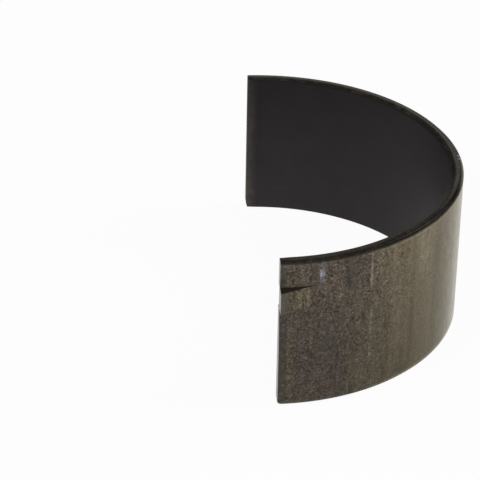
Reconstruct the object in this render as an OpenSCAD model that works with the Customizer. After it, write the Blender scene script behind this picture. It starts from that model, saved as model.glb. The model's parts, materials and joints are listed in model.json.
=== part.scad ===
// Half shell of a split plain bearing, stood on its lower rim.
// Z is the shaft axis, X points to the crown, and the parting faces lie on X = 0.
// The origin is on the shaft axis at mid width.

/* [Shell] */
// Diameter of the housing bore that the back seats in
housing_d = 43; // [38:0.5:60]
// Wall from the back to the running face
wall = 1.5; // [1.4:0.05:2.5]
// Width along the shaft
width = 17; // [14:0.5:26]

/* [Rims] */
// Reach of the rim chamfer across the wall, from the running face
rim_chamfer_wide = 0.65; // [0.2:0.05:0.8]
// Drop of the rim chamfer along the shaft
rim_chamfer_deep = 0.25; // [0.1:0.05:0.6]
// Bevel that breaks the outer edge of both rims
back_bevel = 0.3; // [0.05:0.05:0.5]

/* [Tang] */
// Width of the locating tang along the shaft
tang_w = 2.45; // [1.5:0.05:4]
// Distance from the upper rim down to the tang
tang_drop = 2.85; // [1.5:0.05:6]
// Height of the tang over the back, at the parting face
tang_h = 1.3; // [0.6:0.05:1.6]
// Length of the tang's ramp around the back
tang_run = 3.7; // [2:0.05:5]
// Depth of the punched pocket behind the tang, at the parting face
pocket_deep = 0.9; // [0.3:0.05:1.2]
// Length of the pocket around the running face
pocket_run = 1.6; // [1:0.05:2.5]
// Width of the pocket along the shaft
pocket_w = 2.5; // [1.5:0.05:4]
// Drop from the tang's upper side to the pocket's upper side
pocket_set = 0.2; // [0.05:0.05:0.5]

/* [Ends] */
// Corner radius where the tang's parting face meets the lower rim
tang_corner_r = 0.5; // [0.2:0.05:1]
// Corner radius where the other parting face meets the lower rim
plain_corner_r = 0.6; // [0.2:0.05:1]
// Length of the relief that eases the running face into each parting face
relief_run = 1; // [0.4:0.1:3]
// Depth of that relief at the parting face
relief_deep = 0.25; // [0.05:0.05:0.4]

/* [Hidden] */
$fn = 180;
back_r = housing_d / 2;
bore_r = back_r - wall;
top_z = width / 2;
// How far a cutter stands clear of the face that it opens
over = 1;
// How far a ramp runs on past the face that it meets, as a share of its length
run_on = 0.25;

// Wall section to the right of the axis, with both rims chamfered and bevelled
module wall_section() {
    polygon([
        [bore_r, rim_chamfer_deep - top_z],
        [bore_r + rim_chamfer_wide, -top_z],
        [back_r - back_bevel, -top_z],
        [back_r, back_bevel - top_z],
        [back_r, top_z - back_bevel],
        [back_r - back_bevel, top_z],
        [bore_r + rim_chamfer_wide, top_z],
        [bore_r, top_z - rim_chamfer_deep]
    ]);
}

// Half turn of the wall, from one parting face round the crown to the other
module half_ring() {
    rotate([0, 0, -90])
        rotate_extrude(angle = 180)
            wall_section();
}

// Point on a circle about the shaft, an arc length away from the -Y parting face
function arc_point(r, run) = let (a = run * 180 / (PI * r)) [r * sin(a), -r * cos(a)];

// Point on the line from a to b, carried on past b
function carried_on(a, b) = a + (1 + run_on) * (b - a);

// Raised strip of the wall at the -Y end: square at the parting face, ramped into the back
module tang() {
    lip = [0, -(back_r + tang_h)];
    toe = carried_on(lip, arc_point(back_r, tang_run));
    translate([0, 0, top_z - tang_drop - tang_w])
        linear_extrude(tang_w)
            polygon([lip, toe, [0, -(back_r - wall / 2)]]);
}

// Hollow that the punch leaves in the running face behind the tang
module tang_pocket() {
    floor_end = [0, -(bore_r + pocket_deep)];
    toe = carried_on(floor_end, arc_point(bore_r, pocket_run));
    translate([0, 0, top_z - tang_drop - pocket_set - pocket_w])
        linear_extrude(pocket_w)
            polygon([floor_end, toe, [0, toe[1]], [-over, toe[1]], [-over, floor_end[1]]]);
}

// Wedge that relieves the running face at the -Y parting face, over the full width
module end_relief() {
    edge = [0, -(bore_r + relief_deep)];
    toe = carried_on(edge, arc_point(bore_r, relief_run));
    translate([0, 0, -top_z - over])
        linear_extrude(width + 2 * over)
            polygon([edge, toe, [-over, toe[1]], [-over, edge[1]]]);
}

// Cutter that rounds the lower corner of the -Y end, seen square to the wall
module lower_corner(r) {
    reach = back_r + tang_h + over;
    translate([0, 0, -top_z])
        rotate([90, 0, 0])
            linear_extrude(reach)
                difference() {
                    translate([-over, -over])
                        square(r + over);
                    translate([r, r])
                        circle(r);
                }
}

module bearing_shell() {
    color("dimgray")
        difference() {
            union() {
                half_ring();
                tang();
            }
            tang_pocket();
            end_relief();
            lower_corner(tang_corner_r);
            mirror([0, 1, 0]) {
                end_relief();
                lower_corner(plain_corner_r);
            }
        }
}

bearing_shell();
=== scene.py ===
import json
import math

import bmesh
import bpy
from mathutils import Matrix, Vector


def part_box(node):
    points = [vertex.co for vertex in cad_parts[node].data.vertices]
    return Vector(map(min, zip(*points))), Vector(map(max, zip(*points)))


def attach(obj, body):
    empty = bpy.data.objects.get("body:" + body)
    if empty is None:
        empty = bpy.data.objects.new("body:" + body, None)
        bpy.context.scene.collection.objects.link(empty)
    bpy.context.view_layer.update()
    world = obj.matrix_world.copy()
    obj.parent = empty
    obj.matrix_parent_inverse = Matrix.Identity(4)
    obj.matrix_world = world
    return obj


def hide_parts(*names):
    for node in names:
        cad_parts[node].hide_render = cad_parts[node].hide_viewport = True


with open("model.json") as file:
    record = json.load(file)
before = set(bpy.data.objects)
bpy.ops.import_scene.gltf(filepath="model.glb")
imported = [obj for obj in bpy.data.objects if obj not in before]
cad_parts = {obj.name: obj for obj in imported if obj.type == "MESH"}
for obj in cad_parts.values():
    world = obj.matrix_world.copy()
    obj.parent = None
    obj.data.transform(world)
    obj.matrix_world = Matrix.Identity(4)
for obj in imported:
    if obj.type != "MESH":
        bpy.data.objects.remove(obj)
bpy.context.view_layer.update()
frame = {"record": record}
mm = 0.001
mounts = {mount["name"]: mount for mount in frame["record"]["mounts"]}
nodeLow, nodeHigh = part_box("bearing_shell")
shaftAxis = Vector((0, 0, 1))
same = 0.0002 * mm  # points nearer than this are one point

# What a user would change about the wall of the shell; lengths in metres, turns in radians
wall = {
    "bore": mounts["journal_seat"]["dims"]["r_mm"] * mm,
    "back": mounts["housing_seat"]["dims"]["r_mm"] * mm,
    "halfWidth": nodeHigh.z,
    "chamferWide": 0.65 * mm,
    "chamferDeep": 0.25 * mm,
    "backBevel": 0.3 * mm,
    "tangCorner": 0.5 * mm,
    "plainCorner": 0.6 * mm,
    "reliefRun": 1.0 * mm,
    "reliefDeep": 0.25 * mm,
    "edgeBreak": 0.04 * mm,
    "sharpFrom": math.radians(16),  # edges that turn more are broken
    "facing": 0.8,  # how squarely a face looks out to be back, or in to be lining
    "rows": 26,
    "rowMargin": 0.9 * mm,  # rows keep this far from the rims
    "rowClear": 0.12 * mm,  # and this far from the sides of the tang and the pocket
    "pitch": 0.32 * mm,  # between the columns, which stand closer at both ends
    "endPitch": 0.13 * mm,
    "endStretch": 0.5,  # shorter stretches between two stops take the end pitch
}
# The punched tang and the pocket behind it
tang = {
    "lip": -nodeLow.y,
    "middle": mounts["tang_notch"]["pos_m"][2],
    "width": mounts["tang_notch"]["dims"]["length_mm"] * mm,
    "run": 3.7 * mm,
    "pocketDeep": 0.9 * mm,
    "pocketRun": 1.6 * mm,
    "pocketWidth": 2.5 * mm,
    "pocketSet": 0.2 * mm,  # below the tang's upper side
}
backFinish, liningFinish, rimFinish, cutFinish = range(4)


def everything(bm):
    return bm.verts[:] + bm.edges[:] + bm.faces[:]


def partsOf(faces):
    edges = {edge for face in faces for edge in face.edges}
    verts = {vert for face in faces for vert in face.verts}
    return list(verts) + list(edges) + list(faces)


def cutAcross(bm, geom, place, direction):
    bmesh.ops.bisect_plane(bm, geom=geom, dist=same, plane_co=place, plane_no=direction)


def turnOn(bm, geom, angle, steps):
    turned = bmesh.ops.spin(
        bm, geom=geom, cent=(0, 0, 0), axis=shaftAxis, dvec=(0, 0, 0), angle=angle,
        steps=steps, use_merge=False, use_normal_flip=False, use_duplicate=False)
    return turned["geom_last"]


def radiusOf(point):
    return math.hypot(point.x, point.y)


def outward(face):
    centre = face.calc_center_median()
    return face.normal.dot(Vector((centre.x, centre.y, 0)).normalized())


def fromEnd(point):
    # turn from the nearer parting face
    return math.asin(min(1, max(0, point.x / radiusOf(point))))


def wallSection(bm):
    bore, back, half = wall["bore"], wall["back"], wall["halfWidth"]
    upper = [
        (bore, half - wall["chamferDeep"]),
        (bore + wall["chamferWide"], half),
        (back - wall["backBevel"], half),
        (back, half - wall["backBevel"]),
    ]
    outline = upper + [(r, -z) for r, z in reversed(upper)]
    bm.faces.new([bm.verts.new((0, -r, z)) for r, z in outline])
    reach = half - wall["rowMargin"]
    rows = [reach * (2 * i / (wall["rows"] - 1) - 1) for i in range(wall["rows"])]
    tangRows = [*tangSides(), *pocketSides()]
    rows = [z for z in rows if min(abs(z - row) for row in tangRows) > wall["rowClear"]]
    for z in rows + tangRows:
        cutAcross(bm, everything(bm), (0, 0, z), shaftAxis)
    behind = [f for f in bm.faces if between(f.calc_center_median().z, pocketSides())]
    cutAcross(bm, partsOf(behind), (0, -(bore + tang["pocketDeep"]), 0), (0, 1, 0))


def tangSides():
    return tang["middle"] - tang["width"] / 2, tang["middle"] + tang["width"] / 2


def pocketSides():
    upper = tangSides()[1] - tang["pocketSet"]
    return upper - tang["pocketWidth"], upper


def between(value, ends):
    return ends[0] < value < ends[1]


def cornerRadius(point):
    return wall["tangCorner"] if point.y < 0 else wall["plainCorner"]


def halfTurn(bm):
    # a column falls on each stop, where the form changes
    bore, back = wall["bore"], wall["back"]
    tangEnd = [
        math.asin(wall["tangCorner"] / bore), wall["reliefRun"] / bore,
        tang["pocketRun"] / bore, tang["run"] / back]
    plainEnd = [wall["reliefRun"] / bore, math.asin(wall["plainCorner"] / bore)]
    last, reached = everything(bm), 0.0
    for stop in sorted(tangEnd + [math.pi - turn for turn in plainEnd] + [math.pi]):
        turn = stop - reached
        if turn * bore > wall["edgeBreak"]:  # nearer stops are one
            pitch = wall["endPitch"] if turn < wall["endStretch"] else wall["pitch"]
            last = turnOn(bm, last, turn, max(1, round(turn * bore / pitch)))
            reached = stop


def roundLowerCorners(bm):
    floor = -wall["halfWidth"]
    for vert in bm.verts:
        radius = cornerRadius(vert.co)
        if vert.co.x < radius:
            lift = radius - math.sqrt(max(0, radius ** 2 - (radius - max(0, vert.co.x)) ** 2))
            vert.co.z = max(vert.co.z, floor + lift)


def easeEnds(bm):
    # the running face runs out into each parting face along a flat
    bore, deep = wall["bore"], wall["reliefDeep"]
    turn = wall["reliefRun"] / bore
    toe = Vector((bore * math.sin(turn), bore * math.cos(turn)))
    for vert in bm.verts:
        point = vert.co
        if abs(radiusOf(point) - bore) < same and point.x < toe.x:
            share = 1 - point.x / toe.x
            across = toe.y + (bore + deep - toe.y) * share
            sunk = math.hypot(point.x, across) - bore
            point.y = math.copysign(across, point.y)
            if abs(point.z) > wall["halfWidth"] - wall["chamferDeep"] - same:
                lift = sunk * wall["chamferDeep"] / wall["chamferWide"]
                point.z += math.copysign(lift, point.z)


def moveRegion(bm, faces, lip, toe):
    # the faces go to the flat from the lip, at the parting face, to the toe
    moved = bmesh.ops.extrude_face_region(bm, geom=faces)["geom"]
    bmesh.ops.delete(bm, geom=faces, context="FACES")
    for vert in moved:
        if isinstance(vert, bmesh.types.BMVert):
            share = vert.co.x / toe.x
            vert.co.y = -(lip + (toe.y - lip) * share)


def punchTang(bm):
    bore, back = wall["bore"], wall["back"]
    tangTurn, pocketTurn = tang["run"] / back, tang["pocketRun"] / bore
    ramp, hollow = [], []
    for face in bm.faces:
        centre = face.calc_center_median()
        if centre.y < 0 and centre.x > same:
            if (outward(face) > wall["facing"] and between(centre.z, tangSides())
                    and fromEnd(centre) < tangTurn):
                ramp.append(face)
            if (outward(face) < -wall["facing"] and between(centre.z, pocketSides())
                    and fromEnd(centre) < pocketTurn):
                hollow.append(face)
    moveRegion(bm, ramp, tang["lip"],
               Vector((back * math.sin(tangTurn), back * math.cos(tangTurn))))
    moveRegion(bm, hollow, bore + tang["pocketDeep"],
               Vector((bore * math.sin(pocketTurn), bore * math.cos(pocketTurn))))
    mouth = [
        face for face in bm.faces
        if max(abs(v.co.x) for v in face.verts) < same
        and face.calc_center_median().y < 0
        and between(face.calc_center_median().z, pocketSides())
        and max(radiusOf(v.co) for v in face.verts) < bore + tang["pocketDeep"] + same
    ]
    bmesh.ops.delete(bm, geom=mouth, context="FACES")
    bmesh.ops.remove_doubles(bm, verts=bm.verts, dist=same)


def sortFinishes(bm):
    for face in bm.faces:
        if max(abs(v.co.x) for v in face.verts) < same:
            face.material_index = cutFinish
        elif outward(face) > wall["facing"]:
            face.material_index = backFinish
        elif outward(face) < -wall["facing"]:
            face.material_index = liningFinish
        else:
            face.material_index = rimFinish


def onCorner(edge):
    # the columns across a rounded lower corner stay as they are
    first, second = edge.verts
    rounded = all(
        same < v.co.x < cornerRadius(v.co) - same
        and v.co.z < cornerRadius(v.co) - wall["halfWidth"] for v in edge.verts)
    return rounded and abs(first.co.x - second.co.x) < wall["endPitch"] / 2


def breakEdges(bm):
    sharp = [
        edge for edge in bm.edges
        if len(edge.link_faces) == 2
        and edge.calc_face_angle() > wall["sharpFrom"] and not onCorner(edge)
    ]
    bmesh.ops.bevel(
        bm, geom=sharp, offset=wall["edgeBreak"], offset_type="OFFSET", segments=2,
        profile=0.5, affect="EDGES", clamp_overlap=True, material=-1)


def makeShell():
    bm = bmesh.new()
    wallSection(bm)
    halfTurn(bm)
    bmesh.ops.remove_doubles(bm, verts=bm.verts, dist=same)
    bmesh.ops.recalc_face_normals(bm, faces=bm.faces)
    roundLowerCorners(bm)
    easeEnds(bm)
    punchTang(bm)
    bmesh.ops.recalc_face_normals(bm, faces=bm.faces)
    sortFinishes(bm)
    breakEdges(bm)
    for face in bm.faces:
        face.smooth = True
    mesh = bpy.data.meshes.new("bearingShell")
    bm.to_mesh(mesh)
    bm.free()
    shell = bpy.data.objects.new("bearingShell", mesh)
    bpy.context.scene.collection.objects.link(shell)
    evenShade = shell.modifiers.new("evenShade", "WEIGHTED_NORMAL")
    evenShade.weight = 80  # large faces lead
    return shell


# Materials

def paint(red, green, blue):
    # a colour as a picture shows it, 0 to 255, made linear
    def linear(level):
        level /= 255
        return level / 12.92 if level <= 0.04045 else ((level + 0.055) / 1.055) ** 2.4
    return (linear(red), linear(green), linear(blue), 1)


class Nodes:
    def __init__(self, tree):
        self.tree = tree

    def add(self, kind, sockets=None, **settings):
        node = self.tree.nodes.new("ShaderNode" + kind)
        for key, value in settings.items():
            setattr(node, key, value)
        for key, value in (sockets or {}).items():
            self.set(node.inputs[key], value)
        return node

    def set(self, socket, value):
        if isinstance(value, bpy.types.NodeSocket):
            self.tree.links.new(value, socket)
        else:
            socket.default_value = value

    def place(self, scale=(1, 1, 1)):
        # the piece's own coordinates, in millimetres
        spot = self.add("TexCoord").outputs["Object"]
        size = tuple(share / mm for share in scale)
        return self.add("Mapping", {"Vector": spot, "Scale": size}).outputs["Vector"]

    def axes(self, spot, names):
        split = self.add("SeparateXYZ", {"Vector": spot})
        return [split.outputs[name] for name in names]

    def over(self, spot, radius):
        # how far out a place lies from a radius about the shaft, in millimetres
        x, y = self.axes(spot, "XY")
        reach = self.math("SQRT", self.math("ADD", self.times(x, x), self.times(y, y)))
        return self.math("SUBTRACT", reach, radius / mm)

    def arc(self, spot):
        # way round the back from the tang end, in millimetres
        x, y = self.axes(spot, "XY")
        turn = self.math("ARCTAN2", x, self.times(y, -1.0))
        return self.times(turn, wall["back"] / mm)

    def underRim(self, spot):
        # depth under the nearer rim, in millimetres
        [z] = self.axes(spot, "Z")
        return self.math("SUBTRACT", wall["halfWidth"] / mm, self.math("ABSOLUTE", z))

    def tangHalf(self, spot):
        # 1 on the half with the tang, 0 on the other
        [y] = self.axes(spot, "Y")
        return self.spread(y, -1, 1, 1, 0)

    def noise(self, spot, length, detail, roughness, distortion=0.0):
        return self.add("TexNoise", {
            "Vector": spot, "Scale": 1 / length, "Detail": detail, "Roughness": roughness,
            "Distortion": distortion}).outputs["Fac"]

    def math(self, operation, first, second=0.0, third=0.0):
        node = self.add("Math", operation=operation)
        for socket, value in zip(node.inputs, (first, second, third)):
            self.set(socket, value)
        return node.outputs[0]

    def times(self, *factors):
        product = factors[0]
        for factor in factors[1:]:
            product = self.math("MULTIPLY", product, factor)
        return product

    def rest(self, share):
        return self.math("SUBTRACT", 1.0, share)

    def partly(self, change, share):
        # one plus a share of a change
        return self.math("MULTIPLY_ADD", change, share, 1.0)

    def apart(self, value, middle):
        return self.math("ABSOLUTE", self.math("SUBTRACT", value, middle))

    def spread(self, value, low, high, toLow=0.0, toHigh=1.0, smooth=False):
        return self.add("MapRange", {
            "Value": value, "From Min": low, "From Max": high, "To Min": toLow,
            "To Max": toHigh},
            interpolation_type="SMOOTHSTEP" if smooth else "LINEAR").outputs["Result"]

    def band(self, value, start, full, fade, end, smooth=False):
        # rises from start to full and falls from fade to end
        return self.times(self.spread(value, start, full, smooth=smooth),
                          self.spread(value, fade, end, 1, 0, smooth=smooth))

    def sway(self, noise, reach, depth, middle=0.0):
        # a noise's reach to each side of its mean makes a change of this depth about the middle
        return self.spread(noise, 0.5 - reach, 0.5 + reach, middle - depth, middle + depth)

    def mix(self, share, first, second):
        node = self.add("Mix", data_type="RGBA")
        for index, value in ((0, share), (6, first), (7, second)):  # its sockets for colours
            self.set(node.inputs[index], value)
        return node.outputs[2]

    def scaled(self, colour, factor):
        node = self.add("VectorMath", operation="SCALE")
        self.set(node.inputs[0], colour)
        self.set(node.inputs["Scale"], factor)
        return node.outputs[0]

    def bump(self, height, distance, strength):
        return self.add("Bump", {
            "Height": height, "Distance": distance, "Strength": strength}).outputs["Normal"]


def newMaterial(name):
    material = bpy.data.materials.new(name)
    material.use_nodes = True
    nodes = Nodes(material.node_tree)
    return material, nodes, material.node_tree.nodes["Principled BSDF"].inputs


# In these dictionaries a Sway is a noise's reach and the change that it makes, and a Band rises over
# its first two places along the arc and falls over its last two. Other rows are a low and a high
# value, and what these become if not 0 and 1. Lengths and places are in millimetres
back = {
    "brown": paint(80, 72, 65),
    "wiped": paint(97, 89, 73),
    "tan": paint(138, 128, 110),
    "end": paint(73, 71, 67),
    "edge": paint(150, 144, 128),
    "wornEdge": paint(174, 170, 163),
    "sheen": (1, 0.97, 0.88, 1),
    "roughness": 0.46,
    "wipedRoughness": 0.23,
    "dirtSpecular": 0.1,
    "drawnOut": 0.45,  # patches run along the shaft
    "streakedOut": 0.05,
    "speckle": {"length": 0.23, "detail": 2, "roughness": 0.75},
    "grain": {"length": 0.5, "detail": 3, "roughness": 0.6},
    "streak": {"length": 0.45, "detail": 3, "roughness": 0.6},
    "bands": {"length": 1.6, "detail": 2, "roughness": 0.5},
    "border": {"length": 2.2, "detail": 3, "roughness": 0.6},
    "pits": {"length": 0.5, "detail": 1, "roughness": 0.5},
    "rubbedAndHighlit": {"length": 0.9, "detail": 4, "roughness": 0.65},
    "speckleSway": (0.2, 0.6),
    "grainSway": (0.25, 0.3),
    "streakSway": (0.25, 0.1),
    "bandSway": (0.2, 0.16),
    "roughSway": (0.2, 0.06),
    "pitShow": (0.66, 0.72, 0, 0.4),
    "fleckShow": (0.6, 0.72, 0, 0.4),
    "borderReach": 5.0,
    "wipedBand": (8, 18, 54, 62),
    "wipedShare": 0.85,
    "smoothedBand": (12, 19, 52, 60),
    "smoothedSpeckle": 0.48,
    "speckleLevel": (-3, 6, 0.85, 1.15),  # along the shaft
    "middleLevel": 0.98,
    # painted shade: the back darkens towards the lower rim at these rates
    "paintedShadeRise": (0.009, 0.03),  # by the millimetre along the shaft, tarnished and wiped
    "endWander": 0.4,
    "endShow": (0.55, 1.0, 0.7, 0),  # from the parting faces
    "lowLevel": (-0.2, 0.1, 0.77, 1),  # from the tang's lower side upwards
    "tangLevel": (-0.05, 0.05, 1.4, 1),  # from the tang's sides outwards
    "dirtEdge": (-0.03, 0.0),  # likewise, as the next row
    "dirtShow": (0.3, 0.8, 1, 0),
    "dirtArc": (3.3, 4.3, 1, 0),
    # rubbed metal with a painted highlight under the rims
    "rubbedAndHighlitShow": (0.32, 0.6, 0.3, 1),
    "rubbedAndHighlitRim": (0.45, 0.65, 1, 0),  # under the rims
    "rubbedAndHighlitAt": (9, 14, 0.05, 0.4),  # from the parting faces
    "wornShow": (0.035, 0.06, 0.9, 0),  # from the parting faces
    "wornAt": (-2, 1.5, 1, 0),  # along the shaft
    "scratches": [
        {"turn": 86, "fineness": 5.0, "least": 0.7},
        {"turn": 8, "fineness": 6.0, "least": 0.73},
    ],
    "scratchShare": 0.25,
    "scratchDeep": 0.3,
    "bump": (0.008 * mm, 0.5),  # distance and strength
    "ragged": (0.36, 0.56, 0.45, 1),  # how the grain breaks up the marks
    "markFade": (0.45, 1.15),  # shares of a mark's half size
}
# Patches of tarnish, dark, olive and greenish, laid over the brown
patches = [
    {"colour": paint(76, 69, 64), "show": (0.42, 0.6, 0, 1),
     "noise": {"length": 2.6, "detail": 3, "roughness": 0.55}},
    {"colour": paint(93, 85, 69), "show": (0.5, 0.68, 0, 0.6),
     "noise": {"length": 3.4, "detail": 4, "roughness": 0.62, "distortion": 0.3}},
    {"colour": paint(69, 67, 60), "show": (0.54, 0.68, 0, 0.75),
     "noise": {"length": 1.7, "detail": 3, "roughness": 0.55}},
]
# Marks on the back. Arc and shaft give the middle, in millimetres, and turn goes from the arc
# towards the shaft; smooth is the share of the speckle that a mark hides
marks = [
    {"arc": 4.2, "shaft": 6.0, "turn": 0, "length": 9.0, "wide": 6.0,
     "colour": paint(104, 95, 82), "share": 0.3},
    {"arc": 1.35, "shaft": -3.2, "turn": 90, "length": 11.0, "wide": 1.1,
     "colour": paint(96, 87, 68), "share": 0.35},
    {"arc": 2.2, "shaft": 4.2, "turn": 0, "length": 2.4, "wide": 2.0,
     "colour": paint(112, 103, 78), "share": 0.5},
    {"arc": 4.3, "shaft": 6.6, "turn": 90, "length": 1.9, "wide": 0.62,
     "colour": paint(150, 150, 160), "share": 0.75, "smooth": 0.5},
    {"arc": 4.28, "shaft": 5.95, "turn": 90, "length": 0.8, "wide": 0.3,
     "colour": paint(84, 76, 80), "share": 0.8},
    {"arc": 4.4, "shaft": 7.75, "turn": 90, "length": 1.4, "wide": 0.6,
     "colour": paint(118, 115, 114), "share": 0.3, "smooth": 0.5},
    {"arc": 4.4, "shaft": 2.4, "turn": 90, "length": 1.5, "wide": 0.5,
     "colour": paint(100, 93, 88), "share": 0.4},
    {"arc": 3.4, "shaft": 6.6, "turn": 90, "length": 3.6, "wide": 0.8,
     "colour": paint(66, 63, 56), "share": 0.65, "smooth": 0.6},
    {"arc": 7.05, "shaft": 6.7, "turn": 99, "length": 5.2, "wide": 0.6,
     "colour": paint(54, 53, 48), "share": 0.8, "smooth": 0.6},
    {"arc": 7.6, "shaft": 6.4, "turn": 97, "length": 4.4, "wide": 0.8,
     "colour": paint(76, 72, 66), "share": 0.6, "smooth": 0.7},
    {"arc": 9.8, "shaft": 6.2, "turn": 90, "length": 4.8, "wide": 0.32,
     "colour": paint(134, 127, 115), "share": 0.48},
    {"arc": 9.95, "shaft": -1.2, "turn": 91, "length": 8.0, "wide": 0.3,
     "colour": paint(124, 116, 103), "share": 0.55},
    {"arc": 11.65, "shaft": 4.18, "turn": 24, "length": 0.85, "wide": 0.13,
     "colour": paint(172, 166, 150), "share": 0.8},
    {"arc": 13.8, "shaft": 7.0, "turn": 0, "length": 3.6, "wide": 2.2,
     "colour": paint(98, 84, 64), "share": 0.45},
    {"arc": 17.3, "shaft": 5.4, "turn": 90, "length": 6.0, "wide": 2.2,
     "colour": paint(118, 112, 94), "share": 0.5},
    {"arc": 14.1, "shaft": -1.0, "turn": 90, "length": 8.0, "wide": 2.0,
     "colour": paint(110, 103, 88), "share": 0.4},
    {"arc": 15.8, "shaft": -2.6, "turn": 92, "length": 9.0, "wide": 1.3,
     "colour": paint(84, 76, 60), "share": 0.5},
    {"arc": 18.4, "shaft": 2.4, "turn": 89, "length": 13.0, "wide": 2.2,
     "colour": paint(104, 98, 80), "share": 0.3},
    {"arc": 22.2, "shaft": 0.0, "turn": 90, "length": 22.0, "wide": 7.4,
     "colour": paint(66, 58, 48), "share": 0.88},
    {"arc": 46.0, "shaft": 2.4, "turn": 88, "length": 7.0, "wide": 0.22,
     "colour": paint(140, 134, 118), "share": 0.5},
    {"arc": 58.5, "shaft": -2.6, "turn": 95, "length": 5.0, "wide": 0.8,
     "colour": paint(60, 61, 58), "share": 0.5},
    {"arc": 36.0, "shaft": -4.5, "turn": 12, "length": 2.6, "wide": 0.14,
     "colour": paint(160, 154, 138), "share": 0.6},
]


def markShare(nodes, arc, shaft, mark, ragged):
    turn = math.radians(mark["turn"])
    aside = nodes.math("SUBTRACT", arc, mark["arc"])
    above = nodes.math("SUBTRACT", shaft, mark["shaft"])

    def within(alongArc, alongShaft, size):
        reach = nodes.math("ABSOLUTE", nodes.math(
            "MULTIPLY_ADD", aside, alongArc, nodes.times(above, alongShaft)))
        start, stop = (share * size / 2 for share in back["markFade"])
        return nodes.spread(reach, start, stop, 1, 0, smooth=True)
    inLength = within(math.cos(turn), math.sin(turn), mark["length"])
    inWidth = within(-math.sin(turn), math.cos(turn), mark["wide"])
    return nodes.times(inLength, inWidth, ragged)


def scratches(nodes, spot, turn, fineness, least):
    # thin broken lines at one angle on the unrolled wall
    [z] = nodes.axes(spot, "Z")
    unrolled = nodes.add("CombineXYZ", {"X": nodes.arc(spot), "Y": z}).outputs["Vector"]
    stretch, edge = 0.12, 0.06  # how far lines are drawn out, and how softly they show
    laid = nodes.add("Mapping", {
        "Vector": unrolled, "Rotation": (0, 0, math.radians(turn)), "Scale": (stretch, fineness, 1)})
    lines = nodes.noise(laid.outputs["Vector"], length=1.0, detail=1, roughness=0.5)
    return nodes.spread(lines, least, least + edge)


def tarnish(nodes, drawn, wiped):
    colour = back["brown"]
    for patch in patches:
        noise = nodes.noise(drawn, **patch["noise"])
        colour = nodes.mix(nodes.spread(noise, *patch["show"], smooth=True), colour, patch["colour"])
    return nodes.mix(nodes.times(wiped, back["wipedShare"]), colour, back["wiped"])


def speckleLeft(nodes, z, smoothed, shares):
    # share of the speckle that wiping and marks have left
    left = nodes.times(nodes.spread(smoothed, 0, 1, 1, back["smoothedSpeckle"]),
                       nodes.spread(z, *back["speckleLevel"]))
    for mark, share in zip(marks, shares):
        if "smooth" in mark:
            left = nodes.times(left, nodes.spread(share, 0, 1, 1, 1 - mark["smooth"]))
    return left


def backLevel(nodes, spot, z, speckle, grain, left, wiped):
    # how light the tarnish is, speckled, pitted and streaked, and darker towards the lower rim as
    # painted shade
    streaked = nodes.place((1, 1, back["streakedOut"]))
    pits = nodes.spread(nodes.noise(spot, **back["pits"]), *back["pitShow"])
    streak = nodes.noise(streaked, **back["streak"])
    bands = nodes.noise(streaked, **back["bands"])
    shadeRise = nodes.spread(wiped, 0, 1, *back["paintedShadeRise"])
    return nodes.times(
        nodes.partly(nodes.sway(speckle, *back["speckleSway"]), left),
        nodes.rest(nodes.times(pits, left)),
        nodes.partly(nodes.sway(grain, *back["grainSway"]), left),
        nodes.sway(streak, *back["streakSway"], middle=1.0),
        nodes.partly(nodes.sway(bands, *back["bandSway"]), wiped),
        nodes.math("MULTIPLY_ADD", z, shadeRise, back["middleLevel"]))


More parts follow.
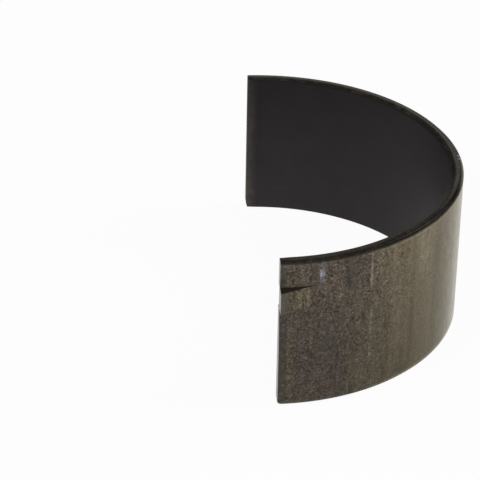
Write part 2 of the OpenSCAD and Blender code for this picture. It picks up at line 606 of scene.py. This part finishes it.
def backMaterial():
    material, nodes, shader = newMaterial("tarnishedBack")
    spot = nodes.place()
    drawn = nodes.place((1, 1, back["drawnOut"]))
    x, z = nodes.axes(spot, "XZ")
    arc = nodes.arc(spot)
    speckle = nodes.noise(spot, **back["speckle"])
    grain = nodes.noise(drawn, **back["grain"])
    # wiped paler and smoother round the crown, up to an uneven border
    border = nodes.noise(drawn, **back["border"])
    wander = nodes.math("MULTIPLY_ADD", border, back["borderReach"], arc)
    wiped = nodes.band(wander, *back["wipedBand"], smooth=True)
    smoothed = nodes.band(wander, *back["smoothedBand"], smooth=True)
    ragged = nodes.spread(grain, *back["ragged"])
    shares = [markShare(nodes, arc, z, mark, ragged) for mark in marks]
    left = speckleLeft(nodes, z, smoothed, shares)
    level = backLevel(nodes, spot, z, speckle, grain, left, wiped)
    colour = tarnish(nodes, drawn, wiped)
    for mark, share in zip(marks, shares):
        colour = nodes.mix(nodes.times(share, mark["share"]), colour, mark["colour"])
    # even and greener beside the parting faces, paler there on the tang and darker below it
    atEnd = nodes.spread(nodes.math("MULTIPLY_ADD", grain, back["endWander"], x),
                         *back["endShow"], smooth=True)
    level = nodes.math("ADD", nodes.times(level, nodes.rest(atEnd)), atEnd)
    fromTang = nodes.math("SUBTRACT", nodes.apart(z, tang["middle"] / mm), tang["width"] / 2 / mm)
    overLow = nodes.math("SUBTRACT", z, tangSides()[0] / mm)
    endLevel = nodes.times(nodes.spread(fromTang, *back["tangLevel"]),
                           nodes.spread(overLow, *back["lowLevel"]))
    level = nodes.times(level, nodes.partly(nodes.math("SUBTRACT", endLevel, 1.0), atEnd))
    colour = nodes.scaled(nodes.mix(atEnd, colour, back["end"]), level)
    flecks = nodes.times(nodes.spread(speckle, *back["fleckShow"]), left)
    colour = nodes.mix(flecks, colour, back["tan"])
    fine = nodes.math("MAXIMUM", *[scratches(nodes, spot, **lines) for lines in back["scratches"]])
    colour = nodes.mix(nodes.times(fine, back["scratchShare"]), colour, back["tan"])
    # bright where the rim edges rub, partly as a painted highlight under the rims, and where the lower
    # part of one parting edge rubs
    rubbedAndHighlit = nodes.times(
        nodes.spread(nodes.underRim(spot), *back["rubbedAndHighlitRim"]), nodes.spread(x, *back["rubbedAndHighlitAt"]),
        nodes.spread(nodes.noise(spot, **back["rubbedAndHighlit"]), *back["rubbedAndHighlitShow"]))
    colour = nodes.mix(rubbedAndHighlit, colour, back["edge"])
    brightStrip = nodes.times(nodes.spread(x, *back["wornShow"]), nodes.spread(z, *back["wornAt"]),
                       nodes.tangHalf(spot))
    colour = nodes.mix(brightStrip, colour, back["wornEdge"])
    nodes.set(shader["Base Color"], colour)
    # dull with dirt in the corners beside the tang
    dirt = nodes.times(
        nodes.spread(fromTang, *back["dirtEdge"]), nodes.spread(arc, *back["dirtArc"]),
        nodes.spread(fromTang, *back["dirtShow"], smooth=True))
    nodes.set(shader["Metallic"], nodes.rest(dirt))
    nodes.set(shader["Specular IOR Level"], back["dirtSpecular"])
    nodes.set(shader["Specular Tint"], back["sheen"])
    roughness = nodes.spread(wiped, 0, 1, back["roughness"], back["wipedRoughness"])
    nodes.set(shader["Roughness"], nodes.math(
        "ADD", roughness, nodes.sway(grain, *back["roughSway"])))
    height = nodes.math("SUBTRACT", nodes.times(speckle, left),
                        nodes.times(fine, back["scratchDeep"]))
    nodes.set(shader["Normal"], nodes.bump(height, *back["bump"]))
    return material


lining = {
    "grey": paint(35, 32, 33),
    "end": paint(58, 55, 50),
    "scuff": paint(50, 48, 48),
    "roughness": 0.45,
    "specular": 0.1,
    "cloud": {"length": 3.5, "detail": 4, "roughness": 0.6},
    "uneven": {"length": 1.2, "detail": 3, "roughness": 0.6},
    "boring": {"length": 0.14, "detail": 2, "roughness": 0.6},
    "boringOut": 0.03,  # boring marks run round the shaft
    "cloudSway": (0.2, 0.1),
    "unevenSway": (0.2, 0.2),
    "boringSway": (0.2, 0.07),
    "roughSway": (0.2, 0.05),
    # painted reflection of the floor, lighter towards the lower rim
    "floorReflectionLevels": (2.15, 0.72),  # at the lower and the upper rim
    "shadeBand": (35, 43, 56, 63),
    "shade": 0.14,
    "endShow": (0.0, 1.1, 0.7, 0),  # from the parting faces
    "scuffs": {"turn": 2, "fineness": 7.0, "least": 0.7},
    "scuffShare": 0.22,
    "bump": (0.004 * mm, 0.4),
}


def liningMaterial():
    material, nodes, shader = newMaterial("greyLining")
    spot = nodes.place()
    x, z = nodes.axes(spot, "XZ")
    cloud = nodes.noise(spot, **lining["cloud"])
    boring = nodes.noise(nodes.place((lining["boringOut"], lining["boringOut"], 1)), **lining["boring"])
    shade = nodes.band(nodes.arc(spot), *lining["shadeBand"], smooth=True)
    top = wall["halfWidth"] / mm
    # the level holds a painted reflection of the floor, lighter towards the lower rim
    level = nodes.times(
        nodes.sway(cloud, *lining["cloudSway"], middle=1.0),
        nodes.sway(boring, *lining["boringSway"], middle=1.0),
        nodes.spread(z, -top, top, *lining["floorReflectionLevels"]),
        nodes.rest(nodes.times(shade, lining["shade"])))
    uneven = nodes.sway(nodes.noise(spot, **lining["uneven"]), *lining["unevenSway"])
    atEnd = nodes.spread(nodes.math("ADD", x, uneven), *lining["endShow"], smooth=True)
    colour = nodes.scaled(nodes.mix(atEnd, lining["grey"], lining["end"]), level)
    scuffs = nodes.times(scratches(nodes, spot, **lining["scuffs"]), lining["scuffShare"])
    nodes.set(shader["Base Color"], nodes.mix(scuffs, colour, lining["scuff"]))
    nodes.set(shader["Roughness"], nodes.sway(cloud, *lining["roughSway"], middle=lining["roughness"]))
    nodes.set(shader["Specular IOR Level"], lining["specular"])
    nodes.set(shader["Normal"], nodes.bump(boring, *lining["bump"]))
    return material


rim = {
    "dark": paint(27, 25, 22),
    "brown": paint(44, 40, 35),
    "layer": paint(37, 35, 35),
    "pale": paint(66, 60, 53),
    "bareAndReflection": paint(116, 112, 102),
    "edge": paint(132, 126, 114),
    "sheared": paint(40, 35, 30),
    "nick": paint(190, 186, 176),
    "roughness": 0.37,
    "specular": 0.02,
    "cloud": {"length": 1.1, "detail": 4, "roughness": 0.6},
    "fleck": {"length": 0.26, "detail": 3, "roughness": 0.7},
    "turned": {"length": 0.09, "detail": 1, "roughness": 0.5},
    "fleckSway": (0.25, 0.55),
    "turnedSway": (0.15, 0.3, 0.95),  # the last is its middle
    "roughSway": (0.2, 0.09),
    "brownShow": (0.42, 0.66, 0, 0.8),
    "tangEndLevel": (8, 13, 1.5, 1),  # by the arc
    # painted light: the far side is made lighter
    "farSideLight": (33, 46, 1, 1.7),  # by the arc
    "layerShow": (0.12, 0.3, 1, 0),  # out from the bore
    "paleStart": 0.4,  # out from the bore, as the stop
    "paleStop": 1.1,  # at the tang end; it draws back to the chamfer's end over paleStopArc
    "paleStopArc": (9, 15),
    "paleShare": 0.95,
    "paleBevel": (0.12, 0.25, 0, 0.7),  # out from the bevel's start
    "paleArc": (20, 29, 1, 0),
    "paleFleck": (0.3, 0.6, 0.65, 1),
    # a painted highlight line where the flat meets the bevel, and painted shade in the grooves beside
    # it
    "lineShow": (0.015, 0.05, 0.22, 0),  # to each side of the bevel's start
    "grooveShadeStart": (0.04, 0.07),  # likewise, as the next row
    "grooveShadeShow": (0.13, 0.19, 0.7, 0),
    "lineStart": (10, 14),  # by the arc, as the two stops
    "lineStop": (18, 24),
    "grooveShadeStop": (26, 31, 1, 0),
    "flatStart": (-0.08, 0.12),  # out from the chamfer's end
    "flatStop": (-0.16, -0.02, 1, 0),  # out from the bevel's start
    # bare metal on the flat, made lighter partly as a painted reflection
    "bareAndReflectionArc": (20, 32, 0.12, 0.95),
    "bareCloud": (0.36, 0.58, 0.6, 1),
    "bareFleck": (0.32, 0.55, 0.35, 1),
    # rubbed metal with a painted highlight along the bevel's outer edge, and a painted highlight all
    # over the bevel at the crown
    "rubbedAndHighlitShow": (0.2, 0.28),  # out from the bevel's start
    "rubbedAndHighlitCloud": (0.36, 0.6, 0.2, 1),
    "rubbedAndHighlitAt": (6, 16, 0.02, 0.45),  # from the parting faces
    "crownShow": (0.0, 0.2, 0, 0.5),  # out from the bevel's start
    "crownBand": (26, 30, 33, 35),
    "nickArcs": [33.3, 34.05],  # nicks across the start of the upper rim's bevel
    "nickShow": (0.05, 0.13, 1, 0),  # from a nick's middle
    "nickLength": (0.1, 0.2, 0.75, 0),  # to each side of the bevel's start
    "nickDepth": (0.3, 0.4, 1, 0),  # under the upper rim
    "shearedFrom": (0.9, 1.3, 1, 0),  # under the rims
    "turnedDeep": 0.6,
    "bump": (0.01 * mm, 0.5),
}


def rimTarnishAndLight(nodes, arc, cloud, fleck, overBore, overLine):
    colour = nodes.mix(nodes.spread(cloud, *rim["brownShow"]), rim["dark"], rim["brown"])
    # the far side is made lighter as painted light
    colour = nodes.scaled(colour, nodes.times(
        nodes.sway(fleck, *rim["fleckSway"], middle=1.0), nodes.spread(arc, *rim["farSideLight"]),
        nodes.spread(arc, *rim["tangEndLevel"])))
    # the chamfer cuts through the soft layer first
    colour = nodes.mix(nodes.spread(overBore, *rim["layerShow"]), colour, rim["layer"])
    # on the tang's side the chamfer and the bevel are paler than the flat between them
    paleStop = nodes.spread(arc, *rim["paleStopArc"], rim["paleStop"], wall["chamferWide"] / mm)
    onChamfer = nodes.spread(overBore, rim["paleStart"], paleStop, rim["paleShare"], 0)
    onBevel = nodes.spread(overLine, *rim["paleBevel"])
    pale = nodes.times(nodes.math("MAXIMUM", onChamfer, onBevel), nodes.spread(arc, *rim["paleArc"]),
                       nodes.spread(fleck, *rim["paleFleck"]))
    return nodes.mix(pale, colour, rim["pale"])


def rimLines(nodes, arc, besideLine):
    # a thin painted highlight line where the flat meets the bevel, between two dark lines of painted
    # shade in the grooves that meet further on
    start, stop = nodes.spread(arc, *rim["lineStart"]), nodes.spread(arc, *rim["lineStop"])
    brightStrip = nodes.times(nodes.spread(besideLine, *rim["lineShow"]), nodes.math("SUBTRACT", start, stop))
    grooveShade = nodes.times(
        nodes.math("MAXIMUM", nodes.spread(besideLine, *rim["grooveShadeStart"]), stop),
        nodes.spread(besideLine, *rim["grooveShadeShow"]), start, nodes.spread(arc, *rim["grooveShadeStop"]))
    return brightStrip, grooveShade


def rimRubbedAndHighlit(nodes, x, arc, cloud, overLine):
    # rubbed, with a painted highlight: bright along the outer edge of the bevel, and all over it at the
    # crown
    edge = nodes.times(nodes.spread(overLine, *rim["rubbedAndHighlitShow"]), nodes.spread(x, *rim["rubbedAndHighlitAt"]),
                       nodes.spread(cloud, *rim["rubbedAndHighlitCloud"]))
    crown = nodes.times(nodes.spread(overLine, *rim["crownShow"]), nodes.band(arc, *rim["crownBand"]))
    return nodes.math("MAXIMUM", edge, crown)


def rimMaterial():
    material, nodes, shader = newMaterial("darkRim")
    spot = nodes.place()
    x, z = nodes.axes(spot, "XZ")
    arc = nodes.arc(spot)
    overBore = nodes.over(spot, wall["bore"])
    overChamfer = nodes.over(spot, wall["bore"] + wall["chamferWide"])
    overLine = nodes.over(spot, wall["back"] - wall["backBevel"])
    besideLine = nodes.math("ABSOLUTE", overLine)
    cloud = nodes.noise(spot, **rim["cloud"])
    fleck = nodes.noise(spot, **rim["fleck"])
    colour = rimTarnishAndLight(nodes, arc, cloud, fleck, overBore, overLine)
    # metal shows on the flat from the crown on, lighter there partly as a painted reflection, and
    # turned lines run round all of it
    bareAndReflection = nodes.times(
        nodes.spread(overChamfer, *rim["flatStart"]), nodes.spread(overLine, *rim["flatStop"]),
        nodes.spread(arc, *rim["bareAndReflectionArc"], smooth=True), nodes.spread(cloud, *rim["bareCloud"]),
        nodes.spread(fleck, *rim["bareFleck"]))
    colour = nodes.mix(bareAndReflection, colour, rim["bareAndReflection"])
    radius = nodes.add("CombineXYZ", {"X": nodes.over(spot, 0)}).outputs["Vector"]
    turned = nodes.noise(radius, **rim["turned"])
    # a painted highlight line and painted shade in the grooves
    highlightLine, grooveShade = rimLines(nodes, arc, besideLine)
    colour = nodes.scaled(colour, nodes.times(
        nodes.rest(grooveShade), nodes.sway(turned, *rim["turnedSway"])))
    colour = nodes.mix(highlightLine, colour, rim["edge"])
    colour = nodes.mix(rimRubbedAndHighlit(nodes, x, arc, cloud, overLine), colour, rim["edge"])
    underTop = nodes.math("SUBTRACT", wall["halfWidth"] / mm, z)
    atEdge = nodes.times(nodes.spread(underTop, *rim["nickDepth"]),
                         nodes.spread(besideLine, *rim["nickLength"]))
    for nickArc in rim["nickArcs"]:
        nick = nodes.times(atEdge, nodes.spread(nodes.apart(arc, nickArc), *rim["nickShow"]))
        colour = nodes.mix(nick, colour, rim["nick"])
    # the tang's sides are sheared and dark
    atRim = nodes.spread(nodes.underRim(spot), *rim["shearedFrom"])
    nodes.set(shader["Base Color"], nodes.mix(atRim, rim["sheared"], colour))
    nodes.set(shader["Metallic"], nodes.times(bareAndReflection, atRim))
    nodes.set(shader["Specular IOR Level"], rim["specular"])
    nodes.set(shader["Roughness"], nodes.sway(fleck, *rim["roughSway"], middle=rim["roughness"]))
    height = nodes.math("ADD", fleck, nodes.times(turned, rim["turnedDeep"]))
    nodes.set(shader["Normal"], nodes.bump(height, *rim["bump"]))
    return material


cut = {
    "steel": paint(142, 138, 131),
    "stain": paint(82, 76, 68),
    "overlay": paint(58, 56, 54),
    "plainEnd": paint(62, 59, 53),
    "metallic": 0.8,
    "specular": (0.08, 0.5),  # at the plain end and at the tang's end
    "roughness": (0.7, 0.36),  # likewise
    "broached": {"length": 0.08, "detail": 3, "roughness": 0.6},
    "broachedOut": 0.06,  # broaching marks run along the shaft
    "stains": {"length": 0.9, "detail": 4, "roughness": 0.6},
    "stainShow": (0.42, 0.7, 0, 0.8),
    "overlayShow": (0.1, 0.16, 0.7, 0),  # out from the relieved bore
    "broachedSway": (0.2, 0.18),
    "shaftLevel": (-8, 3, 1.3, 1),  # cleaner low down
    "bump": (0.005 * mm, 0.4),
}


def cutMaterial():
    material, nodes, shader = newMaterial("cutEnd")
    spot = nodes.place()
    [z] = nodes.axes(spot, "Z")
    broached = nodes.noise(nodes.place((1, 1, cut["broachedOut"])), **cut["broached"])
    stains = nodes.noise(spot, **cut["stains"])
    colour = nodes.mix(nodes.spread(stains, *cut["stainShow"]), cut["steel"], cut["stain"])
    # the soft layer shows darker along the bore side
    overRelief = nodes.over(spot, wall["bore"] + wall["reliefDeep"])
    colour = nodes.mix(nodes.spread(overRelief, *cut["overlayShow"]), colour, cut["overlay"])
    # the end without the tang is tarnished dark and dull
    clean = nodes.tangHalf(spot)
    colour = nodes.mix(clean, cut["plainEnd"], colour)
    colour = nodes.scaled(colour, nodes.times(
        nodes.sway(broached, *cut["broachedSway"], middle=1.0), nodes.spread(z, *cut["shaftLevel"])))
    nodes.set(shader["Base Color"], colour)
    nodes.set(shader["Metallic"], nodes.times(clean, cut["metallic"]))
    nodes.set(shader["Specular IOR Level"], nodes.spread(clean, 0, 1, *cut["specular"]))
    nodes.set(shader["Roughness"], nodes.spread(clean, 0, 1, *cut["roughness"]))
    nodes.set(shader["Normal"], nodes.bump(broached, *cut["bump"]))
    return material


shell = makeShell()
for material in (backMaterial(), liningMaterial(), rimMaterial(), cutMaterial()):
    shell.data.materials.append(material)
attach(shell, "root")
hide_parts("bearing_shell")
print("shell made,", len(shell.data.polygons), "faces")

# Floor: nearly plain white to the camera, so that only a faint shadow shows
floor = {
    "half": 1.5, "level": nodeLow.z, "colour": (0.9, 0.9, 0.9, 1), "roughness": 0.9,
    "white": (1, 1, 1, 1), "glow": 0.95,
}


def floorMaterial():
    material, nodes, shader = newMaterial("paleFloor")
    nodes.set(shader["Base Color"], floor["colour"])
    nodes.set(shader["Roughness"], floor["roughness"])
    nodes.set(shader["Specular IOR Level"], 0.0)
    seen = nodes.add("LightPath").outputs
    straight = nodes.math("MAXIMUM", seen["Is Camera Ray"], seen["Is Glossy Ray"])
    white = nodes.add("Emission", {"Color": floor["white"], "Strength": 1.0})
    both = nodes.add("MixShader", {"Fac": nodes.times(straight, floor["glow"])})
    tree = material.node_tree
    tree.links.new(tree.nodes["Principled BSDF"].outputs[0], both.inputs[1])
    tree.links.new(white.outputs[0], both.inputs[2])
    tree.links.new(both.outputs[0], tree.nodes["Material Output"].inputs["Surface"])
    return material


def makeFloor():
    bm = bmesh.new()
    bmesh.ops.create_grid(bm, x_segments=1, y_segments=1, size=floor["half"])
    bmesh.ops.translate(bm, verts=bm.verts, vec=(0, 0, floor["level"]))
    mesh = bpy.data.meshes.new("floor")
    bm.to_mesh(mesh)
    bm.free()
    mesh.materials.append(floorMaterial())
    piece = bpy.data.objects.new("floor", mesh)
    bpy.context.scene.collection.objects.link(piece)


makeFloor()
print("floor made")

# Light: places and sizes in metres, power in watts
sky = {"horizon": (1, 1, 1, 1), "top": (0.12, 0.12, 0.12, 1), "low": 0.06, "high": 0.45}
lamps = {
    "leftBox": {"place": (-0.42, -0.2, 0.28), "size": 0.35, "power": 1.2},
    "rightBox": {"place": (0.45, 0.05, 0.25), "size": 0.35, "power": 1.6},
    "frontFill": {"place": (0.05, -0.6, 0.3), "size": 0.5, "power": 1.4},
}


def makeLight():
    world = bpy.data.worlds.new("studio")
    bpy.context.scene.world = world
    world.use_nodes = True
    nodes = Nodes(world.node_tree)
    [height] = nodes.axes(nodes.add("TexCoord").outputs["Generated"], "Z")
    rising = nodes.spread(height, sky["low"], sky["high"], smooth=True)
    shade = nodes.mix(rising, sky["horizon"], sky["top"])
    nodes.set(world.node_tree.nodes["Background"].inputs["Color"], shade)
    for name, lamp in lamps.items():
        data = bpy.data.lights.new(name, "AREA")
        data.shape, data.size, data.energy = "DISK", lamp["size"], lamp["power"]
        made = bpy.data.objects.new(name, data)
        made.location = lamp["place"]
        made.rotation_euler = (-Vector(lamp["place"])).to_track_quat("-Z", "Y").to_euler()
        bpy.context.scene.collection.objects.link(made)
    bpy.context.scene.view_settings.view_transform = "Standard"


makeLight()
print("light set")

# Camera: angles in degrees, lens and sensor in millimetres, the rest in metres
camera = {
    "azimuth": -4.671, "elevation": 29.953, "roll": -0.927,
    "distance": 239.695 * mm, "lens": 164.87, "sensor": 36.0,
    "aside": 2.309 * mm, "above": 1.093 * mm, "near": 0.01, "far": 10,
}


def placeCamera():
    azimuth, elevation, roll = (
        math.radians(camera[key]) for key in ("azimuth", "elevation", "roll"))
    right = Vector((math.cos(azimuth), math.sin(azimuth), 0))
    forward = Vector((
        -math.sin(azimuth) * math.cos(elevation),
        math.cos(azimuth) * math.cos(elevation), -math.sin(elevation)))
    up = right.cross(forward)
    turn = Matrix.Rotation(roll, 3, forward)
    right, up = turn @ right, turn @ up
    place = -camera["distance"] * forward - camera["aside"] * right - camera["above"] * up
    data = bpy.data.cameras.new("camera")
    data.sensor_width, data.lens = camera["sensor"], camera["lens"]
    data.clip_start, data.clip_end = camera["near"], camera["far"]
    made = bpy.data.objects.new("camera", data)
    axes = Matrix((right, up, -forward)).transposed()
    made.matrix_world = Matrix.Translation(place) @ axes.to_4x4()
    bpy.context.scene.collection.objects.link(made)
    bpy.context.scene.camera = made


placeCamera()
print("camera placed")
